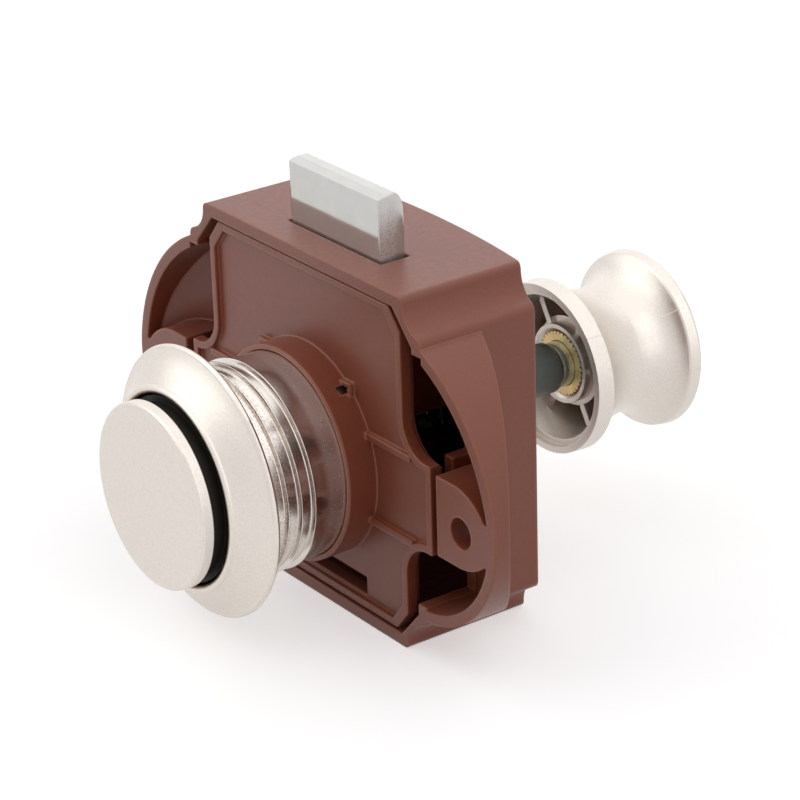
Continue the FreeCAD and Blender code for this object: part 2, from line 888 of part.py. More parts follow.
def inner_guides():
    """Rails for the bolt, seats for the plate, spring posts and the pin's boss."""
    guides = []
    sink = wall / 2
    back = inner_back + sink
    edge_back = back - wall
    rail_near = {"right": slot_right + size("rail_gap"), "left": size("rail_gap") - slot_left}
    back_rail_outer = size("back_rail_inner") + size("rail_width")
    back_rail_front = size("bolt_back") + size("back_rail_gap")
    seat_outer = size("seat_outer")
    seat_inner = size("seat_inner")
    seat_front = size("plate_skirt_end")
    seat = size("seat_height")
    for side, sign in (("right", 1), ("left", -1)):
        spans = {
            "rail": (rail_near[side], rail_near[side] + size("rail_width")),
            "back_rail": (size("back_rail_inner"), back_rail_outer),
            "seat": (seat_inner, seat_outer),
        }
        placed = {}
        for name, (near, far) in spans.items():
            placed[name] = (near, far) if sign > 0 else (-far, -near)
        near, far = placed["rail"]
        guides.append(block("rail_" + side, (near, size("bolt_front"), size("rail_bottom")),
                            (far, back, cavity_top + sink)))
        near, far = placed["back_rail"]
        guides.append(block("back_rail_" + side, (near, back_rail_front, size("rail_bottom")),
                            (far, back, cavity_top + sink)))
        near, far = placed["seat"]
        guides.append(block("upper_seat_" + side, (near, seat_front, cavity_top - seat),
                            (far, edge_back, cavity_top + sink)))
        guides.append(block("lower_seat_" + side, (near, seat_front, -cavity_bottom - sink),
                            (far, edge_back, seat - cavity_bottom)))
        post_z = -cavity_bottom - sink
        guides.append(rod("spring_post_" + side, "Z", size("spring_post_radius"), post_z,
                          size("spring_post_length") - cavity_bottom,
                          (sign * size("bolt_spring_x"), spring_y)))
    guides.append(rod("pivot_boss", "X", size("pin_boss_radius"), size("pin_boss_face"),
                      cavity_side + sink, (pivot_y, 0.0)))
    return guides


# Base plate

def plate_outline(inset):
    """The plate's edge, or the inside of its lip when inset."""
    side = plate_side - inset
    reach = plate_reach - inset
    flare = size("plate_flare")
    bend = flare + inset
    ear_top = size("plate_ear_top") - inset
    ear_bottom = size("plate_ear_bottom") - inset
    flare_x = side + bend
    return mirrored_loop([
        (side - size("plate_corner_width"), plate_top - inset),
        (side, plate_top - inset - size("plate_corner_height")),
        (side, ear_top + bend),
        (flare_x, ear_top, arc(bend, CCW)),
        (reach, ear_top),
        (reach, -ear_bottom),
        (flare_x, -ear_bottom),
        (side, -ear_bottom - bend, arc(bend, CCW)),
        (side, -plate_bottom + inset + size("plate_corner_height")),
        (side - size("plate_corner_width"), -plate_bottom + inset),
    ])


def make_base_plate():
    """Moulded cover in the mouth of the case, with lip, skirt, collar and ribs."""
    body = new_body("base_plate")
    lip = size("plate_lip_width")
    front = size("plate_field_front")
    back = size("plate_back")
    edge_back = size("plate_edge_back")
    pad_y(body, front, edge_back, [plate_outline(0.0)])
    pad_y(body, size("plate_lip_front"), edge_back, [plate_outline(0.0), plate_outline(lip)])
    pad_y(body, front, back, [plate_outline(lip)])
    skirt = plate_side - size("plate_corner_width")
    for low, high in ((plate_top - lip, plate_top), (-plate_bottom, lip - plate_bottom)):
        pad_y(body, front, size("plate_skirt_end"), [rectangle(-skirt, low, skirt, high)])
    pad_y(body, -size("collar_front"), back, circles=[(size("collar_radius"),)])
    half_rib = size("rib_width") / 2
    end = plate_side + size("rib_overrun")
    for height in (size("rib_height_upper"), -size("rib_height_lower")):
        start = leg(collar_bore_radius + size("sleeve_gap"), height)
        for sign in (1, -1):
            near, far = (start, end) if sign > 0 else (-end, -start)
            pad_y(body, size("plate_lip_front"), back,
                  [rectangle(near, height - half_rib, far, height + half_rib)])
    rim = size("window_rim")
    for sign in (1, -1):
        near = size("window_left")
        far = size("window_right")
        low = size("window_bottom")
        high = size("window_top")
        corner = [
            (far + rim, low), (far + rim, high + rim), (near, high + rim), (near, high),
            (far, high), (far, low),
        ]
        pad_y(body, size("hook_front"), back,
              [corner if sign > 0 else flipped_loop(corner)])
        hole = rectangle(near, low, far, high)
        cut_y(body, -CUT_MARGIN, back + CUT_MARGIN, [hole if sign > 0 else flipped_loop(hole)])
    cut_y(body, -CUT_MARGIN, back + CUT_MARGIN,
          [rectangle(-size("slot_half_width"), -size("slot_bottom"),
                     size("slot_half_width"), -size("slot_top"))])
    cut_y(body, -size("collar_front") - CUT_MARGIN, sleeve_seat, circles=[(collar_bore_radius,)])
    cut_y(body, -size("collar_front") - CUT_MARGIN, back + CUT_MARGIN,
          circles=[(plate_hole_radius,)])
    return body


# Sleeve, ring and rosette

def make_sleeve():
    """Plated sleeve through the door, with a smooth band and a thread for the rosette."""
    body = new_body("threaded_sleeve")
    bore = size("sleeve_bore_radius")
    root = size("sleeve_root_radius")
    band = size("sleeve_band_radius")
    neck = size("sleeve_neck_radius")
    turn_y(body, [
        (bore, -size("sleeve_front")),
        (root, -size("sleeve_front")),
        (root, -(size("sleeve_band_front") + size("sleeve_band_fade"))),
        (band, -size("sleeve_band_front")),
        (band, sleeve_seat),
        (neck, sleeve_seat),
        (neck, size("sleeve_end")),
        (bore, size("sleeve_end")),
    ])
    groove_front = size("plate_back")
    groove_root = neck - size("ring_groove_depth")
    turn_y(body, [
        (groove_root, groove_front),
        (size("ring_outer_radius"), groove_front),
        (size("ring_outer_radius"), groove_front + size("ring_thickness")),
        (groove_root, groove_front + size("ring_thickness")),
    ], "PartDesign::Groove")
    add_thread(body)
    return body


def add_thread(body):
    """The thread's thin ridge, wound as a helix up to the smooth band."""
    base = size("thread_base_width") / 2
    crest = size("thread_crest_width") / 2
    middle = -size("thread_start")
    root = size("sleeve_root_radius")
    sink = root - size("ring_groove_depth")
    sketch = xy_sketch(body, 0.0, [[
        (sink, middle - base),
        (root, middle - base),
        (size("sleeve_radius"), middle - crest),
        (size("sleeve_radius"), middle + crest),
        (root, middle + base),
        (sink, middle + base),
    ]])
    ridge = body.newObject("PartDesign::AdditiveHelix", "Thread")
    ridge.Profile = sketch
    ridge.ReferenceAxis = (sketch, ["V_Axis"])
    ridge.Mode = "pitch-height-angle"
    bind(ridge, "Pitch", size("thread_pitch"))
    bind(ridge, "Height", size("thread_start") - size("thread_end"))
    doc.recompute()
    return ridge


def make_ring():
    """Open ring that holds the sleeve behind the plate."""
    body = new_body("sleeve_retaining_ring")
    front = size("plate_back")
    back = front + size("ring_thickness")
    inner = size("sleeve_neck_radius") - size("ring_groove_depth")
    pad_y(body, front, back, circles=[(size("ring_outer_radius"),), (inner,)])
    half = size("ring_gap_half_width")
    cut_y(body, front, back, [rectangle(-half, -size("ring_outer_radius") - CUT_MARGIN, half, 0.0)])
    return body


def make_rosette():
    """Screwed trim ring with a concave front and a rolled lip round its hole."""
    body = new_body("rosette")
    lip = size("rosette_lip_width")
    hole = size("rosette_hole_radius")
    front = -size("rosette_front")
    rim = size("rosette_rim")
    outer = size("rosette_radius")
    back = -size("rosette_back")
    turn_y(body, [
        (hole, front + lip / 2),
        (hole + lip / 2, front, arc(lip / 2, CCW)),
        (hole + lip, front + lip / 2, arc(lip / 2, CCW)),
        (outer - rim / 2, back - rim, arc(size("rosette_flare_radius"), CW)),
        (outer, back - rim / 2, arc(rim / 2, CCW)),
        (outer - rim / 2, back, arc(rim / 2, CCW)),
        (size("rosette_bore_radius"), back),
        (size("rosette_bore_radius"), -size("sleeve_front")),
        (hole, -size("sleeve_front")),
    ])
    return body


# Button, carrier and spindle

def make_push_button():
    """Round button cap with a skirt that sits in the carrier."""
    body = new_body("push_button")
    front = -size("button_front")
    back = front + size("button_thickness")
    edge = size("button_edge_round")
    skirt = size("carrier_bore_radius") - size("spindle_fit")
    skirt_inner = skirt - size("button_skirt_wall")
    skirt_end = back + size("button_skirt_length")
    turn_y(body, [
        (0.0, front),
        (size("button_radius") - edge, front),
        (size("button_radius"), front + edge, arc(edge, CCW)),
        (size("button_radius"), back),
        (skirt, back),
        (skirt, skirt_end),
        (skirt_inner, skirt_end),
        (skirt_inner, back),
        (0.0, back),
    ])
    return body


def make_carrier():
    """Sliding cup behind the button, with boss, crossbar, arms, tab and heart track."""
    body = new_body("button_carrier")
    nose_front = size("button_thickness") - size("button_front")
    bore = size("spindle_neck_radius") + size("spindle_fit")
    turn_y(body, [
        (bore, -size("carrier_web")),
        (size("carrier_bore_radius"), -size("carrier_web")),
        (size("carrier_bore_radius"), nose_front),
        (size("carrier_nose_radius"), nose_front),
        (size("carrier_nose_radius"), -size("carrier_shoulder")),
        (size("carrier_radius"), -size("carrier_shoulder")),
        (size("carrier_radius"), 0.0),
        (size("carrier_boss_radius"), 0.0),
        (size("carrier_boss_radius"), size("crossbar_back")),
        (bore, size("crossbar_back")),
    ])
    inner = size("arm_inner")
    outer = size("arm_outer")
    bar = size("crossbar_half_height")
    arm = size("arm_half_height")
    pad_y(body, size("crossbar_front"), size("crossbar_back"),
          [rectangle(-outer, -bar, outer, bar)])
    pad_y(body, arm_front, size("arm_back"), [rectangle(inner, -arm, outer, arm)])
    pad_y(body, arm_front, size("crossbar_back"), [rectangle(-outer, -bar, -inner, bar)])
    pad_y(body, -size("carrier_web"), size("tab_back"),
          [rectangle(-size("tab_half_width"), -size("tab_bottom"),
                     size("tab_half_width"), -size("tab_top"))])
    cut_y(body, -size("carrier_web") - CUT_MARGIN, size("crossbar_back") + CUT_MARGIN,
          circles=[(bore,)])
    tall = size("track_half_height")
    island = size("island_half_height")
    cut_x(body, outer - size("track_depth"), outer + CUT_MARGIN, [
        rectangle(size("track_front"), -tall, size("track_back"), tall),
        [
            (size("island_front"), -island),
            (size("island_back"), 0.0),
            (size("island_front"), island),
            (size("island_notch"), 0.0),
        ],
    ])
    return body


def make_spindle():
    """Plated spindle from the carrier to the knob."""
    body = new_body("spindle")
    neck = size("spindle_neck_radius")
    clip_back = -size("carrier_web")
    clip_front = clip_back - size("clip_thickness")
    front = clip_front - size("spindle_nose_length")
    chamfer = size("spindle_chamfer")
    shoulder_y = size("crossbar_back")
    thread = size("spindle_thread_radius")
    shoulder = insert_front - size("spindle_shoulder_gap")
    end = insert_end - size("spindle_end_gap")
    turn_y(body, [
        (0.0, front),
        (neck - chamfer, front),
        (neck, front + chamfer),
        (neck, clip_front),
        (size("clip_groove_radius"), clip_front),
        (size("clip_groove_radius"), clip_back),
        (neck, clip_back),
        (neck, shoulder_y),
        (size("spindle_radius"), shoulder_y),
        (size("spindle_radius"), shoulder - chamfer),
        (thread, shoulder),
        (thread, end - chamfer),
        (thread - chamfer, end),
        (0.0, end),
    ])
    return body


def make_clip():
    """Spring clip that holds the spindle in the carrier."""
    body = new_body("spindle_clip")
    back = -size("carrier_web")
    front = back - size("clip_thickness")
    pad_y(body, front, back,
          circles=[(size("clip_outer_radius"),), (size("clip_groove_radius"),)])
    mouth = size("clip_mouth_half_width")
    cut_y(body, front, back, [rectangle(-mouth, -size("clip_outer_radius") - CUT_MARGIN, mouth, 0.0)])
    return body


def make_washer():
    """Flat washer between the carrier and its spring."""
    body = new_body("spring_washer")
    front = size("crossbar_back")
    pad_y(body, front, front + size("washer_thickness"), circles=[
        (size("washer_radius"),), (size("spindle_radius") + size("spindle_fit"),)])
    return body


def make_bush():
    """Flanged bush in the back of the case."""
    body = new_body("rear_bush")
    bore = size("spindle_radius") + size("bush_running_gap")
    flange_front = back_boss_face
    flange_back = flange_front + size("bush_flange_thickness")
    turn_y(body, [
        (bore, inner_back),
        (size("bush_radius"), inner_back),
        (size("bush_radius"), flange_front),
        (size("bush_flange_radius"), flange_front),
        (size("bush_flange_radius"), flange_back),
        (bore, flange_back),
    ])
    return body


# Knob

def make_knob():
    """Turned knob with a ring front, a long hollow waist and a flared head, hollow in front."""
    body = new_body("knob")
    front = size("knob_front")
    flange = size("knob_flange_radius")
    swell = flange + size("knob_flange_swell")
    flange_back = front + size("knob_flange_length")
    soft = size("knob_flange_round")
    edge = size("knob_edge_round")
    head = size("knob_head_radius")
    step = size("knob_rim_step")
    rim = front + size("knob_rim_depth")
    waist = size("knob_waist_radius")
    waist_y = front + size("knob_waist_depth")
    drop = swell - soft - waist
    run = waist_y - flange_back
    rise = head - 2 * step - waist
    climb = rim - step - waist_y
    front_hollow = (run * run + drop * drop) / (2.0 * drop)
    rear_hollow = (climb * climb + rise * rise) / (2.0 * rise)
    back = front + size("knob_length")
    rebate = front + size("knob_rebate_depth")
    floor = front + size("knob_recess_depth")
    floor_radius = size("knob_recess_floor_radius")
    recess = size("knob_recess_radius")
    hub = size("knob_hub_radius")
    hub_base = hub + size("knob_hub_step")
    hub_front = front + size("knob_hub_depth")
    hub_step = front + size("knob_hub_step_depth")
    chamfer = size("knob_hub_chamfer")
    bore = size("insert_radius")
    bottom = insert_end + size("insert_bottom_gap")
    turn_y(body, [
        (0.0, bottom),
        (bore, bottom),
        (bore, hub_front + chamfer),
        (bore + chamfer, hub_front),
        (hub, hub_front),
        (hub, hub_step),
        (hub_base, hub_step),
        (hub_base, floor),
        (floor_radius, floor),
        (recess, rebate),
        (size("knob_rebate_radius"), rebate),
        (size("knob_rebate_radius"), front),
        (flange, front),
        (swell, flange_back - soft),
        (swell - soft, flange_back, arc(soft, CCW)),
        (waist, waist_y, arc(front_hollow, CW)),
        (head - 2 * step, rim - step, arc(rear_hollow, CW)),
        (head - step, rim),
        (head, back - edge),
        (head - edge, back, arc(edge, CCW)),
        (0.0, back),
    ])
    half = size("knob_spoke_width") / 2
    spoke_front = front + size("knob_spoke_depth")
    share = (spoke_front - rebate) / (floor - rebate)
    wall_radius = recess + share * (floor_radius - recess)
    spoke = pad_z(body, -half, half, [[
        (hub_base - half, spoke_front),
        (wall_radius + half, spoke_front),
        (floor_radius + half, floor + half),
        (hub_base - half, floor + half),
    ]])
    polar_y(body, spoke, "V_Axis", KNOB_SPOKES)
    return body


def make_insert():
    """Knurled brass insert in the knob's hub."""
    body = new_body("knob_insert")
    outer = size("insert_radius")
    bore = size("spindle_thread_radius") + size("insert_bore_gap")
    pad_y(body, insert_front, insert_end, circles=[(outer,), (bore,)])
    half = size("knurl_width") / 2
    tooth = cut_y(body, insert_front, insert_end, [[
        (-half, outer + half), (0.0, outer - size("knurl_depth")), (half, outer + half)]])
    polar_y(body, tooth, "N_Axis", KNURL_TEETH)
    return body


# Latch bolt, slide and pins

def make_latch_bolt():
    """Cast bolt with a rounded rear bevel, creased ends and a slot for the slide."""
    body = new_body("latch_bolt")
    top = size("bolt_top")
    low = size("bolt_bottom")
    front = size("bolt_front")
    back = size("bolt_back")
    chamfer = size("bolt_end_chamfer")
    pad_y(body, front, back, [[
        (bolt_left, low), (bolt_right, low), (bolt_right, top - chamfer),
        (bolt_right - chamfer, top), (bolt_left + chamfer, top), (bolt_left, top - chamfer)]])
    drop = size("bolt_bevel_drop")
    reach = size("bolt_bevel_reach")
    crest = front + size("bolt_crest")
    foot = size("bolt_bevel_foot")
    over = CUT_MARGIN
    cut_x(body, bolt_left - over, bolt_right + over, [[
        (crest, top),
        (back, foot, arc(size("bolt_bevel_radius"), CW)),
        (back + over, foot),
        (back + over, top + over),
        (crest, top + over),
    ]])
    cut_x(body, bolt_left - over, bolt_right + over, [[
        (front, top - drop), (front + reach, top), (front + reach, top + over),
        (front - over, top + over), (front - over, top - drop)]])
    crease = size("bolt_end_crease")
    draft = size("bolt_end_draft")
    cut_z(body, low - over, top + over, [[
        (bolt_right, crease), (bolt_right - draft, back), (bolt_right - draft, back + over),
        (bolt_right + over, back + over), (bolt_right + over, crease)]])
    cut_z(body, low - over, top + over, [[
        (bolt_left, crease), (bolt_left - over, crease), (bolt_left - over, back + over),
        (bolt_left + draft, back + over), (bolt_left + draft, back)]])
    fit = size("tongue_fit")
    wide = size("tongue_half_width") + fit
    cut_y(body, size("slide_front") - fit, slide_back + fit,
          [rectangle(-wide, low - over, wide, size("tongue_top") + fit)])
    cut_y(body, front - over, back + over,
          circles=[(size("bolt_pin_radius"), 0.0, size("bolt_pin_height"))])
    return body


def make_slide():
    """Stamped slide that carries the bolt past the carrier's boss."""
    body = new_body("bolt_slide")
    half = size("slide_half_width")
    neck = size("slide_neck_half_width")
    tongue = size("tongue_half_width")
    body_top = size("bolt_bottom") - size("slide_body_gap")
    window = size("window_half_width")
    window_end = size("carrier_boss_radius") + bolt_travel + size("slide_window_gap")
    pad_y(body, size("slide_front"), slide_back, [
        mirrored_loop([
            (tongue, size("tongue_top")),
            (tongue, body_top),
            (half, body_top),
            (half, size("slide_shoulder")),
            (neck, size("slide_shoulder")),
            (neck, -size("slide_bottom")),
        ]),
        rectangle(-window, -size("window_lower_end"), window, window_end),
    ])
    cut_y(body, size("slide_front"), slide_back,
          circles=[(size("bolt_pin_radius"), 0.0, size("bolt_pin_height"))])
    return body


def make_bolt_pin():
    """Cross pin that ties the bolt to the slide."""
    body = new_body("bolt_pin")
    fit = size("tongue_fit")
    pad_y(body, size("bolt_front") + fit, size("bolt_back") - fit,
          circles=[(size("bolt_pin_radius"), 0.0, size("bolt_pin_height"))])
    return body


def ball(name, radius, place):
    """A sphere that closes a bend of the wire."""
    sphere = doc.addObject("Part::Sphere", name)
    bind(sphere, "Radius", radius)
    for axis, item in zip("xyz", place):
        bind(sphere, "Placement.Base." + axis, item)
    return sphere


def make_cam_pin():
    """Bent wire pin: a tip in the heart track, an arm, and a leg in the case's boss."""
    wire = size("pin_wire_radius")
    reach = pivot_y - size("pin_tip_y")
    drop = size("pin_tip_drop")
    arm = doc.addObject("Part::Cylinder", "pin_arm")
    bind(arm, "Radius", wire)
    bind(arm, "Height", root(reach * reach + drop * drop))
    slope = math.degrees(math.atan2(drop.value, reach.value))
    arm.Placement = FreeCAD.Placement(
        FreeCAD.Vector(), FreeCAD.Rotation(FreeCAD.Vector(1, 0, 0), slope - 90.0))
    bind(arm, "Placement.Base.x", size("pin_arm_x"))
    bind(arm, "Placement.Base.y", size("pin_tip_y"))
    bind(arm, "Placement.Base.z", -drop)
    tip = rod("pin_tip", "X", wire, size("pin_tip_x"), size("pin_arm_x"),
              (size("pin_tip_y"), -drop))
    pivot = rod("pin_pivot", "X", wire, size("pin_arm_x"), size("pin_leg_end"),
                (pivot_y, 0.0))
    bends = [
        ball("pin_tip_bend", wire, (size("pin_arm_x"), size("pin_tip_y"), -drop)),
        ball("pin_pivot_bend", wire, (size("pin_arm_x"), pivot_y, 0.0)),
    ]
    pin = fuse("cam_pin", [arm, tip, pivot] + bends)
    pin.Label = "cam_pin"
    return pin


def make_leaf():
    """Leaf spring that presses the cam pin into the track."""
    body = new_body("cam_pin_spring")
    thick = size("leaf_thickness")
    foot = cavity_side - size("leaf_gap")
    tip = size("pin_arm_x") + size("pin_wire_radius") + size("leaf_gap")
    tip_back = pivot_y - size("leaf_tip_gap")
    tip_front = tip_back - size("leaf_tip_length")
    foot_back = tip_front - size("leaf_bend_length")
    foot_front = foot_back - size("leaf_foot_length")
    pad_z(body, -size("leaf_half_height"), size("leaf_half_height"), [[
        (foot, foot_front),
        (foot, foot_back),
        (tip + thick, tip_front),
        (tip + thick, tip_back),
        (tip, tip_back),
        (tip, tip_front - thick),
        (foot - thick, foot_back - thick),
        (foot - thick, foot_front),
    ]])
    return body


def make_spring(label, coil, wire, turns, length, place, rotation):
    """A coil spring of round wire, wound from its place along the rotated Z axis."""
    helix = doc.addObject("Part::Helix", "Coil_" + label)
    bind(helix, "Radius", coil)
    bind(helix, "Height", length)
    bind(helix, "Pitch", length / turns)
    helix.SegmentLength = 1.0
    section = doc.addObject("Part::Circle", "Wire_" + label)
    bind(section, "Radius", wire)
    section.Placement = FreeCAD.Placement(
        FreeCAD.Vector(), FreeCAD.Rotation(FreeCAD.Vector(1, 0, 0), 90))
    bind(section, "Placement.Base.x", coil)
    spring = doc.addObject("Part::Sweep", label)
    spring.Sections = [section]
    spring.Spine = (helix, [])
    spring.Solid = True
    spring.Frenet = True
    spring.Placement = FreeCAD.Placement(FreeCAD.Vector(), rotation)
    for axis, item in zip("xyz", place):
        bind(spring, "Placement.Base." + axis, item)
    spring.Label = label
    return spring


def make_springs():
    """The button's spring and the two bolt springs."""
    gap = size("spring_seat_gap")
    wire = size("button_spring_wire_radius")
    coil = size("button_spring_coil_radius")
    start = size("crossbar_back") + size("washer_thickness") + gap + wire
    end = dome_depth(wall, coil + wire) - gap - wire
    springs = [make_spring(
        "button_spring", coil, wire, size("button_spring_turns"), end - start,
        (0.0, start, 0.0), FreeCAD.Rotation(FreeCAD.Vector(1, 0, 0), -90))]
    wire = size("bolt_spring_wire_radius")
    low = gap + wire - cavity_bottom
    high = size("slide_shoulder") - gap - wire
    for label, sign in (("bolt_spring_left", -1.0), ("bolt_spring_right", 1.0)):
        springs.append(make_spring(
            label, size("bolt_spring_coil_radius"), wire, size("bolt_spring_turns"),
            high - low, (sign * size("bolt_spring_x"), spring_y, low), FreeCAD.Rotation()))
    return springs


parts = [
    make_case_shell(),
    make_base_plate(),
    make_sleeve(),
    make_ring(),
    make_rosette(),
    make_push_button(),
    make_carrier(),
    make_spindle(),
    make_clip(),
    make_washer(),
    make_bush(),
    make_knob(),
    make_insert(),
    make_latch_bolt(),
    make_slide(),
    make_bolt_pin(),
    make_cam_pin(),
    make_leaf(),
] + make_springs()

doc.recompute()

for item in doc.Objects:
    if "Invalid" in item.State or "Error" in item.State:
        raise RuntimeError("failed object: %s %s" % (item.Name, item.State))

for part in parts:
    if part.Shape.isNull() or not part.Shape.isValid():
        raise RuntimeError("bad shape: " + part.Label)

os.makedirs("parts", exist_ok=True)
for part in parts:
    part.Shape.exportStep("parts/%s.step" % part.Label)
    print("%-24s solids %d volume %9.2f" % (part.Label, len(part.Shape.Solids), part.Shape.Volume))
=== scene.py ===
"""Looks of the pushbutton cabinet lock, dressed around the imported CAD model.

Everything is in metres, in the frame of the CAD model: the button's axis is Y,
the bolt comes out along Z, and the door meets the case in the plane Y = 0.
"""
import json
import math

import bmesh
import bpy
from mathutils import Matrix, Vector


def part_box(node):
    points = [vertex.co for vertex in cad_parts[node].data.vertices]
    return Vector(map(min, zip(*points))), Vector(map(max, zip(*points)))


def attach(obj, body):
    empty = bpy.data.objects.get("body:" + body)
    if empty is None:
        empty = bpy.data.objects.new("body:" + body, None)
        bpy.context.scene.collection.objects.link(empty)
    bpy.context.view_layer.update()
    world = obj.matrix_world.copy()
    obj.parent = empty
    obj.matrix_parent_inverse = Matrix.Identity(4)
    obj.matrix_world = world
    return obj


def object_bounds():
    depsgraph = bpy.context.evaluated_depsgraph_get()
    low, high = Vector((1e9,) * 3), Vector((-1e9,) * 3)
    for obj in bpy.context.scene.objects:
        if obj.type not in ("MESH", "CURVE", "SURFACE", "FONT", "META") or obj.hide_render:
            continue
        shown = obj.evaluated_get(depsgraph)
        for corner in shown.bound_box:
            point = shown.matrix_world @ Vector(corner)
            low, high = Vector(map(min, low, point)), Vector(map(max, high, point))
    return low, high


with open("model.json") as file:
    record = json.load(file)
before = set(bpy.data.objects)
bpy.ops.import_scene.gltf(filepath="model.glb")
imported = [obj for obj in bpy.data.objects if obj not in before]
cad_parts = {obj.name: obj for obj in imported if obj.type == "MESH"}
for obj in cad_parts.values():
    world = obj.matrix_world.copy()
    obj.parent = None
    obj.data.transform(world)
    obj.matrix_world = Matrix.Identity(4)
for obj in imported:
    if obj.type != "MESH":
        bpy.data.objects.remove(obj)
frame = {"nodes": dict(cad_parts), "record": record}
scene = bpy.context.scene
bpy.context.view_layer.update()

MM = 0.001

# Parting lines on the knob, placed from the two ends of the knob

PART_LINE_ANGLE = math.radians(38)
PART_LINE_WIDTH = 0.16 * MM
PART_LINE_HEIGHT = 0.05 * MM
PART_LINE_SINK = 0.1 * MM
FLANGE_LINE_END = 2.3 * MM
HEAD_LINE_START = 3.6 * MM
HEAD_LINE_END = 0.4 * MM
PROFILE_STEP = 0.2 * MM

# Where the plating changes, and where the painted reflection on the sleeve's thread fades: the
# rosette's lip, the sleeve's zones along Y and the bolt's end

LIP_WIDTH = 0.22 * MM
LIP_FADE = 0.22 * MM
BAND_FRONT = -5.3 * MM
BAND_FADE = 0.6 * MM
EASE_START = BAND_FRONT - 1.9 * BAND_FADE
EASE_END = BAND_FRONT - 1.5 * BAND_FADE
SPECKLE_FULL = -11.5 * MM
SPECKLE_END = -8.5 * MM
BOLT_END_SKIN = 0.2 * MM
BOLT_END_FULL = 0.06 * MM

# Floor, sky and lamps; a lamp has its place, width, height and power in watts

FLOOR_DROP = 0.02 * MM
FLOOR_SIZE = 3.0
FLOOR_SEEN = 0.90
FLOOR_LIT = 0.50
FLOOR_LIFT = 0.50
SKY_STRENGTH = 0.20
SEEN_STRENGTH = 1.0
LAMP_TARGET = Vector((0.0, 0.01, 0.0))
LAMPS = {
    "key": ((-0.70, -0.80, 0.85), 1.4, 1.4, 4.8),
    "overhead": ((0.10, 0.15, 1.15), 1.9, 1.9, 5.2),
    "side": ((1.10, 0.10, 0.50), 1.3, 1.3, 2.8),
    "back": ((-0.95, 0.75, 0.55), 1.7, 1.4, 2.4),
}

# Camera at the photograph's viewing angle

CAMERA_PLACE = Vector((0.28164224, -0.18692689, 0.15599918))
CAMERA_RIGHT = Vector((0.59034102, 0.80664882, -0.02855094))
CAMERA_DOWN = Vector((0.31298392, -0.26137358, -0.91308538))
CAMERA_AHEAD = Vector((-0.74400171, 0.53009577, -0.40676766))
CAMERA_LENS = 142.3
CAMERA_SENSOR = 36

# The Mix node's two inputs and its output, for each kind of data

MIX_SOCKETS = {"FLOAT": (2, 3, 0), "VECTOR": (4, 5, 1), "RGBA": (6, 7, 2)}

# The middle part of a noise, which its values hardly leave

NOISE_LOW = 0.3
NOISE_HIGH = 0.7
BEVEL_SAMPLES = 6


# Node helpers

def tone(red, green, blue, share=1.0):
    """A colour for a socket, at a share of its brightness."""
    return (red * share, green * share, blue * share, 1.0)


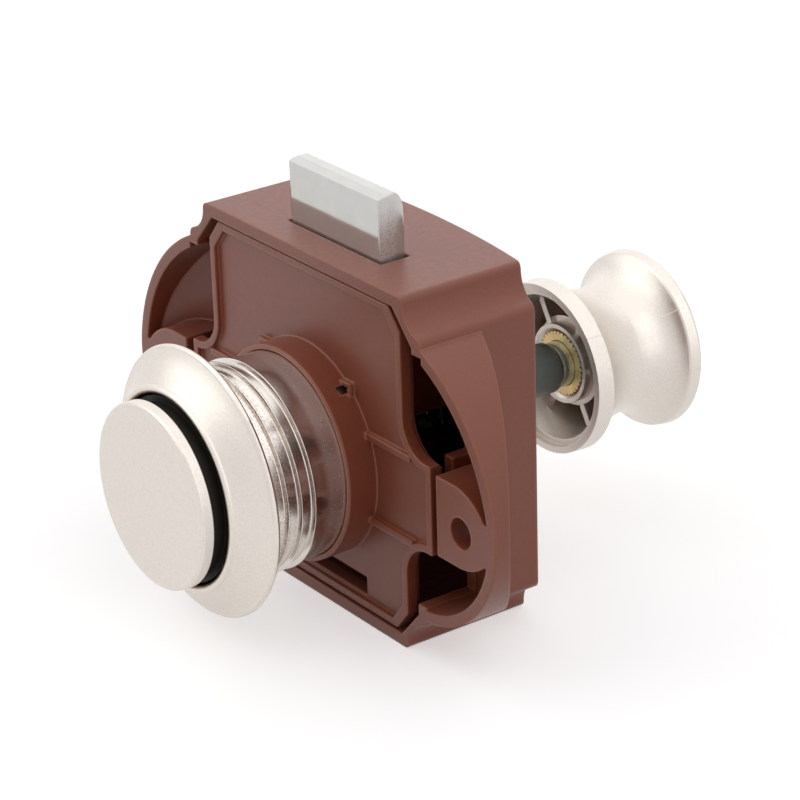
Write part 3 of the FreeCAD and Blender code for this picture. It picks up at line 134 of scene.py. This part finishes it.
class Nodes:
    """A material's node tree, with short calls for the nodes that the finishes use."""

    def __init__(self, name):
        self.material = bpy.data.materials.new(name)
        self.material.use_nodes = True
        self.tree = self.material.node_tree
        self.shader = self.tree.nodes["Principled BSDF"]

    def add(self, kind, **values):
        node = self.tree.nodes.new(kind)
        for key, value in values.items():
            setattr(node, key, value)
        return node

    def join(self, source, target):
        self.tree.links.new(source, target)

    def set(self, **values):
        """Sets the shader's sockets, with _ for a space in their names."""
        for key, value in values.items():
            self.shader.inputs[key.replace("_", " ")].default_value = value

    def place(self, stretch=(1, 1, 1)):
        """Object coordinates, stretched per axis."""
        coordinates = self.add("ShaderNodeTexCoord")
        mapping = self.add("ShaderNodeMapping")
        mapping.inputs["Scale"].default_value = stretch
        self.join(coordinates.outputs["Object"], mapping.inputs["Vector"])
        return mapping.outputs["Vector"]

    def noise(self, scale, detail=2.0, rough=0.5, stretch=(1, 1, 1)):
        """Noise with so many cells to the metre."""
        node = self.add("ShaderNodeTexNoise")
        node.inputs["Scale"].default_value = scale
        node.inputs["Detail"].default_value = detail
        node.inputs["Roughness"].default_value = rough
        self.join(self.place(stretch), node.inputs["Vector"])
        return node.outputs["Fac"]

    def axis_distance(self):
        """Distance from the button's axis."""
        flat = self.add("ShaderNodeVectorMath", operation="LENGTH")
        self.join(self.place((1, 0, 1)), flat.inputs[0])
        return flat.outputs["Value"]

    def along(self, axis="Y"):
        """Place along one axis of the frame; the button's axis is Y."""
        split = self.add("ShaderNodeSeparateXYZ")
        self.join(self.place(), split.inputs[0])
        return split.outputs[axis]

    def away_from_axis(self):
        """The normal of a plain cylinder round the button's axis."""
        out = self.add("ShaderNodeVectorMath", operation="NORMALIZE")
        self.join(self.place((1, 0, 1)), out.inputs[0])
        turn = self.add("ShaderNodeVectorTransform", vector_type="NORMAL",
                        convert_from="OBJECT", convert_to="WORLD")
        self.join(out.outputs["Vector"], turn.inputs["Vector"])
        return turn.outputs["Vector"]

    def times(self, first, second):
        """Product of two number sockets."""
        node = self.add("ShaderNodeMath", operation="MULTIPLY")
        self.join(first, node.inputs[0])
        self.join(second, node.inputs[1])
        return node.outputs["Value"]

    def spread(self, source, low, high, start=NOISE_LOW, end=NOISE_HIGH):
        """Maps a number from start..end to low..high."""
        node = self.add("ShaderNodeMapRange")
        for key, value in (("From Min", start), ("From Max", end), ("To Min", low), ("To Max", high)):
            node.inputs[key].default_value = value
        self.join(source, node.inputs["Value"])
        return node.outputs["Result"]

    def mix(self, factor, first, second, kind="RGBA"):
        """Mixes two colours, numbers or vectors, each a value or a socket, by a factor socket."""
        node = self.add("ShaderNodeMix", data_type=kind)
        self.join(factor, node.inputs[0])
        low, high, result = MIX_SOCKETS[kind]
        for socket, value in ((node.inputs[low], first), (node.inputs[high], second)):
            if isinstance(value, tuple):
                socket.default_value = value
            else:
                self.join(value, socket)
        return node.outputs[result]

    def between(self, first, second, scale, detail=3.0, rough=0.5):
        """A colour that a noise moves between two tones."""
        return self.mix(self.spread(self.noise(scale, detail, rough), 0.0, 1.0), first, second)

    def mottled(self, base, dark, light, scale, detail=3.0, rough=0.5):
        """A colour that a noise moves between two shares of its brightness."""
        return self.between(tone(*base, dark), tone(*base, light), scale, detail, rough)

    def uneven(self, low, high, scale, detail=3.0, rough=0.5):
        """A number that a noise moves between low and high."""
        return self.spread(self.noise(scale, detail, rough), low, high)

    def soft_normal(self, radius):
        """The normal with its edges rounded by a radius."""
        node = self.add("ShaderNodeBevel", samples=BEVEL_SAMPLES)
        node.inputs["Radius"].default_value = radius
        return node.outputs["Normal"]

    def edge(self, radius, start=0.02, end=0.25):
        """1 at the edges and 0 on the faces, from how far the rounding turns the normal."""
        geometry = self.add("ShaderNodeNewGeometry")
        dot = self.add("ShaderNodeVectorMath", operation="DOT_PRODUCT")
        self.join(self.soft_normal(radius), dot.inputs[0])
        self.join(geometry.outputs["Normal"], dot.inputs[1])
        turned = self.add("ShaderNodeMath", operation="SUBTRACT")
        turned.inputs[0].default_value = 1.0
        self.join(dot.outputs["Value"], turned.inputs[1])
        return self.spread(turned.outputs["Value"], 0.0, 1.0, start, end)

    def bump(self, height, depth, strength=1.0, normal=None):
        """The normal of a skin with a relief of this depth."""
        node = self.add("ShaderNodeBump")
        node.inputs["Distance"].default_value = depth
        node.inputs["Strength"].default_value = strength
        self.join(height, node.inputs["Height"])
        if normal is not None:
            self.join(normal, node.inputs["Normal"])
        return node.outputs["Normal"]

    def colour(self, socket):
        self.join(socket, self.shader.inputs["Base Color"])

    def roughness(self, socket):
        self.join(socket, self.shader.inputs["Roughness"])

    def normal(self, socket):
        self.join(socket, self.shader.inputs["Normal"])


# Finishes

def case_plastic():
    """Brown moulded plastic with a fine eroded grain, and a painted highlight on its edges: a
    lighter, warmer brown where the rounding turns the normal.
    """
    brown = (0.262, 0.060, 0.026)
    edge_highlight = (0.46, 0.146, 0.066)
    edge_radius = 0.42 * MM
    edge_highlight_radius = 0.45 * MM
    grain_depth = 0.014 * MM
    n = Nodes("brown_moulding")
    n.set(Specular_IOR_Level=0.64, Sheen_Weight=0.12, Sheen_Roughness=0.45)
    body = n.mottled(brown, 0.90, 1.09, 3900, rough=0.7)
    # Painted highlight: the edges get a lighter, warmer brown, which stands in for light caught on
    # the rounded edges.
    n.colour(n.mix(n.edge(edge_highlight_radius, 0.01, 0.12), body, tone(*edge_highlight)))
    n.roughness(n.uneven(0.36, 0.46, 1200))
    n.normal(n.bump(n.noise(7000, 2.0, 0.6), grain_depth, 0.7, n.soft_normal(edge_radius)))
    return n.material


def carrier_plastic():
    """Black moulded plastic of the inner carrier and the bush."""
    dark = (0.010, 0.007, 0.005)
    light = (0.018, 0.013, 0.009)
    edge_radius = 0.15 * MM
    grain_depth = 0.01 * MM
    n = Nodes("black_moulding")
    n.set(Specular_IOR_Level=0.2)
    n.colour(n.between(tone(*dark), tone(*light), 150))
    n.roughness(n.uneven(0.42, 0.55, 1500))
    n.normal(n.bump(n.noise(6000), grain_depth, 0.5, n.soft_normal(edge_radius)))
    return n.material


def satin_nickel(name="satin_plating", worn_radius=0.0):
    """Satin plating over a blasted casting, a little warm, with a fine even grain.

    Within worn_radius of the button's axis the plating is thin, and the yellow undercoat shows.
    """
    warm = (0.715, 0.662, 0.608)
    undercoat = (0.50, 0.36, 0.22)
    edge_radius = 0.12 * MM
    grain_depth = 0.018 * MM
    n = Nodes(name)
    n.set(Metallic=1.0)
    body = n.mottled(warm, 0.92, 1.05, 3900, rough=0.7)
    if worn_radius:
        worn = n.spread(n.axis_distance(), 1.0, 0.0, worn_radius, worn_radius + LIP_FADE)
        body = n.mix(worn, body, tone(*undercoat))
    n.colour(body)
    n.roughness(n.uneven(0.33, 0.42, 900, 4.0, 0.65))
    n.normal(n.bump(n.noise(4600, 3.0, 0.7), grain_depth, 0.6, n.soft_normal(edge_radius)))
    return n.material


def bright_nickel():
    """Bright plating on the turned sleeve, with a painted reflection of the brown case speckled along
    the thread, and duller on the band.

    Between the thread and the band the normal is a plain cylinder's, which hides the low step there.
    """
    clear = (0.76, 0.715, 0.67)
    brown_reflection = (0.34, 0.24, 0.19)
    turning_lines = (40, 9000, 40)
    edge_radius = 0.10 * MM
    line_depth = 0.0015 * MM
    pit_depth = 0.002 * MM
    n = Nodes("bright_plating")
    n.set(Metallic=1.0)
    body = n.mottled(clear, 0.96, 1.03, 80, 2.0)
    # Painted reflection: a brown speckle along the thread, full at its front and gone towards the
    # band, stands in for the brown case mirrored in the plating.
    thread = n.spread(n.along(), 1.0, 0.0, SPECKLE_FULL, SPECKLE_END)
    speckle = n.spread(n.noise(4200, 4.0, 0.75), 0.0, 0.55, 0.50, 0.60)
    n.colour(n.mix(n.times(thread, speckle), body, tone(*brown_reflection)))
    band = n.spread(n.along(), 0.0, 1.0, BAND_FRONT - BAND_FADE, BAND_FRONT)
    grain = n.noise(5200, 3.0, 0.6)
    n.roughness(n.mix(band, n.spread(grain, 0.12, 0.20), n.spread(grain, 0.255, 0.275), "FLOAT"))
    turned = n.noise(1.0, 2.0, 0.6, turning_lines)
    lines = n.bump(turned, line_depth, 0.5, n.soft_normal(edge_radius))
    pitted = n.bump(n.noise(4200, 3.0, 0.7), pit_depth, 0.5, lines)
    ease = n.spread(n.along(), 0.0, 1.0, EASE_START, EASE_END)
    n.normal(n.mix(ease, pitted, n.away_from_axis(), "VECTOR"))
    return n.material


def bolt_nickel():
    """Plated bolt with a finely brushed skin and a rougher, cast end."""
    pale = (0.640, 0.630, 0.610)
    brush_lines = (160, 5200, 5200)
    edge_radius = 0.28 * MM
    brush_depth = 0.0015 * MM
    pit_depth = 0.002 * MM
    n = Nodes("brushed_plating")
    n.set(Metallic=0.70)
    n.colour(n.mottled(pale, 0.97, 1.03, 500))
    brushed = n.noise(1.0, 3.0, 0.65, brush_lines)
    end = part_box("latch_bolt")[1].x
    cast = n.spread(n.along("X"), 0.0, 1.0, end - BOLT_END_SKIN, end - BOLT_END_FULL)
    n.roughness(n.mix(cast, n.spread(brushed, 0.07, 0.12), n.uneven(0.24, 0.40, 4200), "FLOAT"))
    skin = n.bump(brushed, brush_depth, 0.4, n.soft_normal(edge_radius))
    n.normal(n.bump(n.noise(4200, 3.0, 0.7), pit_depth, 0.4, skin))
    return n.material


def zinc_steel():
    """Blue zinc plating on the turned and stamped steel parts."""
    dark = (0.36, 0.42, 0.42)
    light = (0.43, 0.48, 0.47)
    turning_lines = (60, 6000, 60)
    edge_radius = 0.1 * MM
    line_depth = 0.0015 * MM
    n = Nodes("blue_zinc")
    n.set(Metallic=1.0)
    n.colour(n.between(tone(*dark), tone(*light), 120, 1.0))
    n.roughness(n.uneven(0.17, 0.22, 4200, 2.0))
    turned = n.noise(1.0, 2.0, 0.6, turning_lines)
    n.normal(n.bump(turned, line_depth, 0.4, n.soft_normal(edge_radius)))
    return n.material


def spring_steel():
    """Drawn spring steel with a thin film of grease."""
    dark = (0.30, 0.30, 0.31)
    light = (0.46, 0.45, 0.44)
    drawn_depth = 0.004 * MM
    n = Nodes("spring_wire")
    n.set(Metallic=1.0)
    n.colour(n.between(tone(*dark), tone(*light), 300))
    n.roughness(n.uneven(0.22, 0.36, 1200))
    n.normal(n.bump(n.noise(4000), drawn_depth, 0.5))
    return n.material


def brass():
    """Knurled brass insert, dull in the grooves, with a painted highlight on the edges of its teeth.
    """
    dark = (0.56, 0.40, 0.18)
    light = (0.70, 0.53, 0.27)
    tooth_glint = (0.86, 0.71, 0.44)
    edge_radius = 0.05 * MM
    tooth_glint_radius = 0.12 * MM
    grain_depth = 0.004 * MM
    n = Nodes("knurled_brass")
    n.set(Metallic=1.0)
    body = n.between(tone(*dark), tone(*light), 400)
    # Painted highlight: the edges of the teeth get a brighter brass, which stands in for light caught
    # on them.
    n.colour(n.mix(n.edge(tooth_glint_radius), body, tone(*tooth_glint)))
    n.roughness(n.uneven(0.24, 0.36, 1500))
    n.normal(n.bump(n.noise(5000), grain_depth, 0.5, n.soft_normal(edge_radius)))
    return n.material


finishes = {
    "case_plastic": case_plastic(),
    "carrier_plastic": carrier_plastic(),
    "satin_nickel": satin_nickel(),
    "bright_nickel": bright_nickel(),
    "bolt_nickel": bolt_nickel(),
    "zinc_steel": zinc_steel(),
    "spring_steel": spring_steel(),
    "brass": brass(),
}
slots = {part["node"]: part["material_slot"] for part in frame["record"]["subparts"]}


def least_radius(name):
    """How near a node comes to the button's axis."""
    return min(math.hypot(v.co.x, v.co.z) for v in frame["nodes"][name].data.vertices)


own_finish = {"rosette": satin_nickel("satin_plating_worn_lip", least_radius("rosette") + LIP_WIDTH)}
for name, node in frame["nodes"].items():
    for entry in node.material_slots:
        entry.link = "OBJECT"
        entry.material = own_finish.get(name, finishes[slots[name]])


# Pieces that only the looks need

def knob_profile():
    """Radius and place along Y of the knob's outside, read from its own vertices."""
    rings = {}
    for vertex in frame["nodes"]["knob"].data.vertices:
        place = round(vertex.co.y / PROFILE_STEP)
        radius = math.hypot(vertex.co.x, vertex.co.z)
        rings[place] = max(rings.get(place, (0.0, 0.0)), (radius, vertex.co.y))
    return [rings[key] for key in sorted(rings)]


def parting_line(name, low, high):
    """A thin witness line of the die, proud of the knob's rim between two places along Y."""
    mesh = bpy.data.meshes.new(name)
    form = bmesh.new()
    rows = []
    for radius, y in knob_profile():
        if low <= y <= high:
            row = []
            half = PART_LINE_WIDTH / 2 / radius
            for turn, rise in ((-half, -PART_LINE_SINK), (-half / 2, PART_LINE_HEIGHT),
                               (half / 2, PART_LINE_HEIGHT), (half, -PART_LINE_SINK)):
                angle = PART_LINE_ANGLE + turn
                out = radius + rise
                row.append(form.verts.new((out * math.cos(angle), y, out * math.sin(angle))))
            rows.append(row)
    for first, second in zip(rows, rows[1:]):
        for a in range(len(first)):
            b = (a + 1) % len(first)
            form.faces.new((first[a], second[a], second[b], first[b]))
    form.faces.new(rows[0])
    form.faces.new(list(reversed(rows[-1])))
    bmesh.ops.recalc_face_normals(form, faces=form.faces)
    form.to_mesh(mesh)
    form.free()
    piece = bpy.data.objects.new(name, mesh)
    scene.collection.objects.link(piece)
    mesh.materials.append(finishes["satin_nickel"])
    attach(piece, "button")


# Stage: floor, world, lamps and camera

def seen_white(tree):
    """1 for what the camera, a gloss or a clear piece sees, and 0 for the light on the object."""
    path = tree.nodes.new("ShaderNodeLightPath")
    seen = path.outputs["Is Camera Ray"]
    for kind in ("Is Glossy Ray", "Is Transmission Ray"):
        larger = tree.nodes.new("ShaderNodeMath")
        larger.operation = "MAXIMUM"
        tree.links.new(seen, larger.inputs[0])
        tree.links.new(path.outputs[kind], larger.inputs[1])
        seen = larger.outputs["Value"]
    return seen


def floor_finish():
    """Pale where it is seen, and darker for the light that it throws up at the object."""
    n = Nodes("pale_floor")
    n.set(Roughness=0.9, Specular_IOR_Level=0.1, Emission_Color=(1.0, 1.0, 1.0, 1.0))
    seen = seen_white(n.tree)
    n.colour(n.mix(seen, tone(1.0, 1.0, 1.0, FLOOR_LIT), tone(1.0, 1.0, 1.0, FLOOR_SEEN)))
    n.join(n.spread(seen, 0.0, FLOOR_LIFT, 0.0, 1.0), n.shader.inputs["Emission Strength"])
    return n.material


def make_floor():
    """Floor under the case, which keeps the object's soft shadow."""
    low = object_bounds()[0][2] - FLOOR_DROP
    mesh = bpy.data.meshes.new("floor")
    form = bmesh.new()
    bmesh.ops.create_grid(form, x_segments=1, y_segments=1, size=FLOOR_SIZE)
    form.to_mesh(mesh)
    form.free()
    floor = bpy.data.objects.new("floor", mesh)
    floor.location = (0.0, 0.0, low)
    scene.collection.objects.link(floor)
    mesh.materials.append(floor_finish())


def make_world():
    """White where it is seen, and a softer sky for the light that falls on the object."""
    world = bpy.data.worlds.new("studio")
    scene.world = world
    world.use_nodes = True
    tree = world.node_tree
    sky = tree.nodes["Background"]
    white = tree.nodes.new("ShaderNodeBackground")
    for background, strength in ((sky, SKY_STRENGTH), (white, SEEN_STRENGTH)):
        background.inputs["Color"].default_value = (1.0, 1.0, 1.0, 1.0)
        background.inputs["Strength"].default_value = strength
    mix = tree.nodes.new("ShaderNodeMixShader")
    tree.links.new(seen_white(tree), mix.inputs["Fac"])
    tree.links.new(sky.outputs["Background"], mix.inputs[1])
    tree.links.new(white.outputs["Background"], mix.inputs[2])
    tree.links.new(mix.outputs["Shader"], tree.nodes["World Output"].inputs["Surface"])


def softbox(name, place, width, height, power):
    """A soft area light aimed at the object."""
    lamp = bpy.data.lights.new(name, "AREA")
    lamp.shape = "RECTANGLE"
    lamp.size = width
    lamp.size_y = height
    lamp.energy = power
    light = bpy.data.objects.new(name, lamp)
    scene.collection.objects.link(light)
    light.location = place
    toward = Vector(place) - LAMP_TARGET
    light.rotation_euler = toward.to_track_quat("Z", "Y").to_euler()


def make_camera():
    """Camera from the fitted directions, each given in the object's frame."""
    camera = bpy.data.cameras.new("camera")
    camera.lens = CAMERA_LENS
    camera.sensor_width = CAMERA_SENSOR
    eye = bpy.data.objects.new("camera", camera)
    scene.collection.objects.link(eye)
    turn = Matrix((CAMERA_RIGHT, -CAMERA_DOWN, -CAMERA_AHEAD)).transposed().to_4x4()
    turn.translation = CAMERA_PLACE
    eye.matrix_world = turn
    scene.camera = eye


knob_low, knob_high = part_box("knob")
parting_line("knob_flange_line", knob_low.y, knob_low.y + FLANGE_LINE_END)
parting_line("knob_head_line", knob_high.y - HEAD_LINE_START, knob_high.y - HEAD_LINE_END)

make_floor()
make_world()
for name, (place, width, height, power) in LAMPS.items():
    softbox(name, place, width, height, power)
make_camera()
scene.view_settings.view_transform = "Standard"
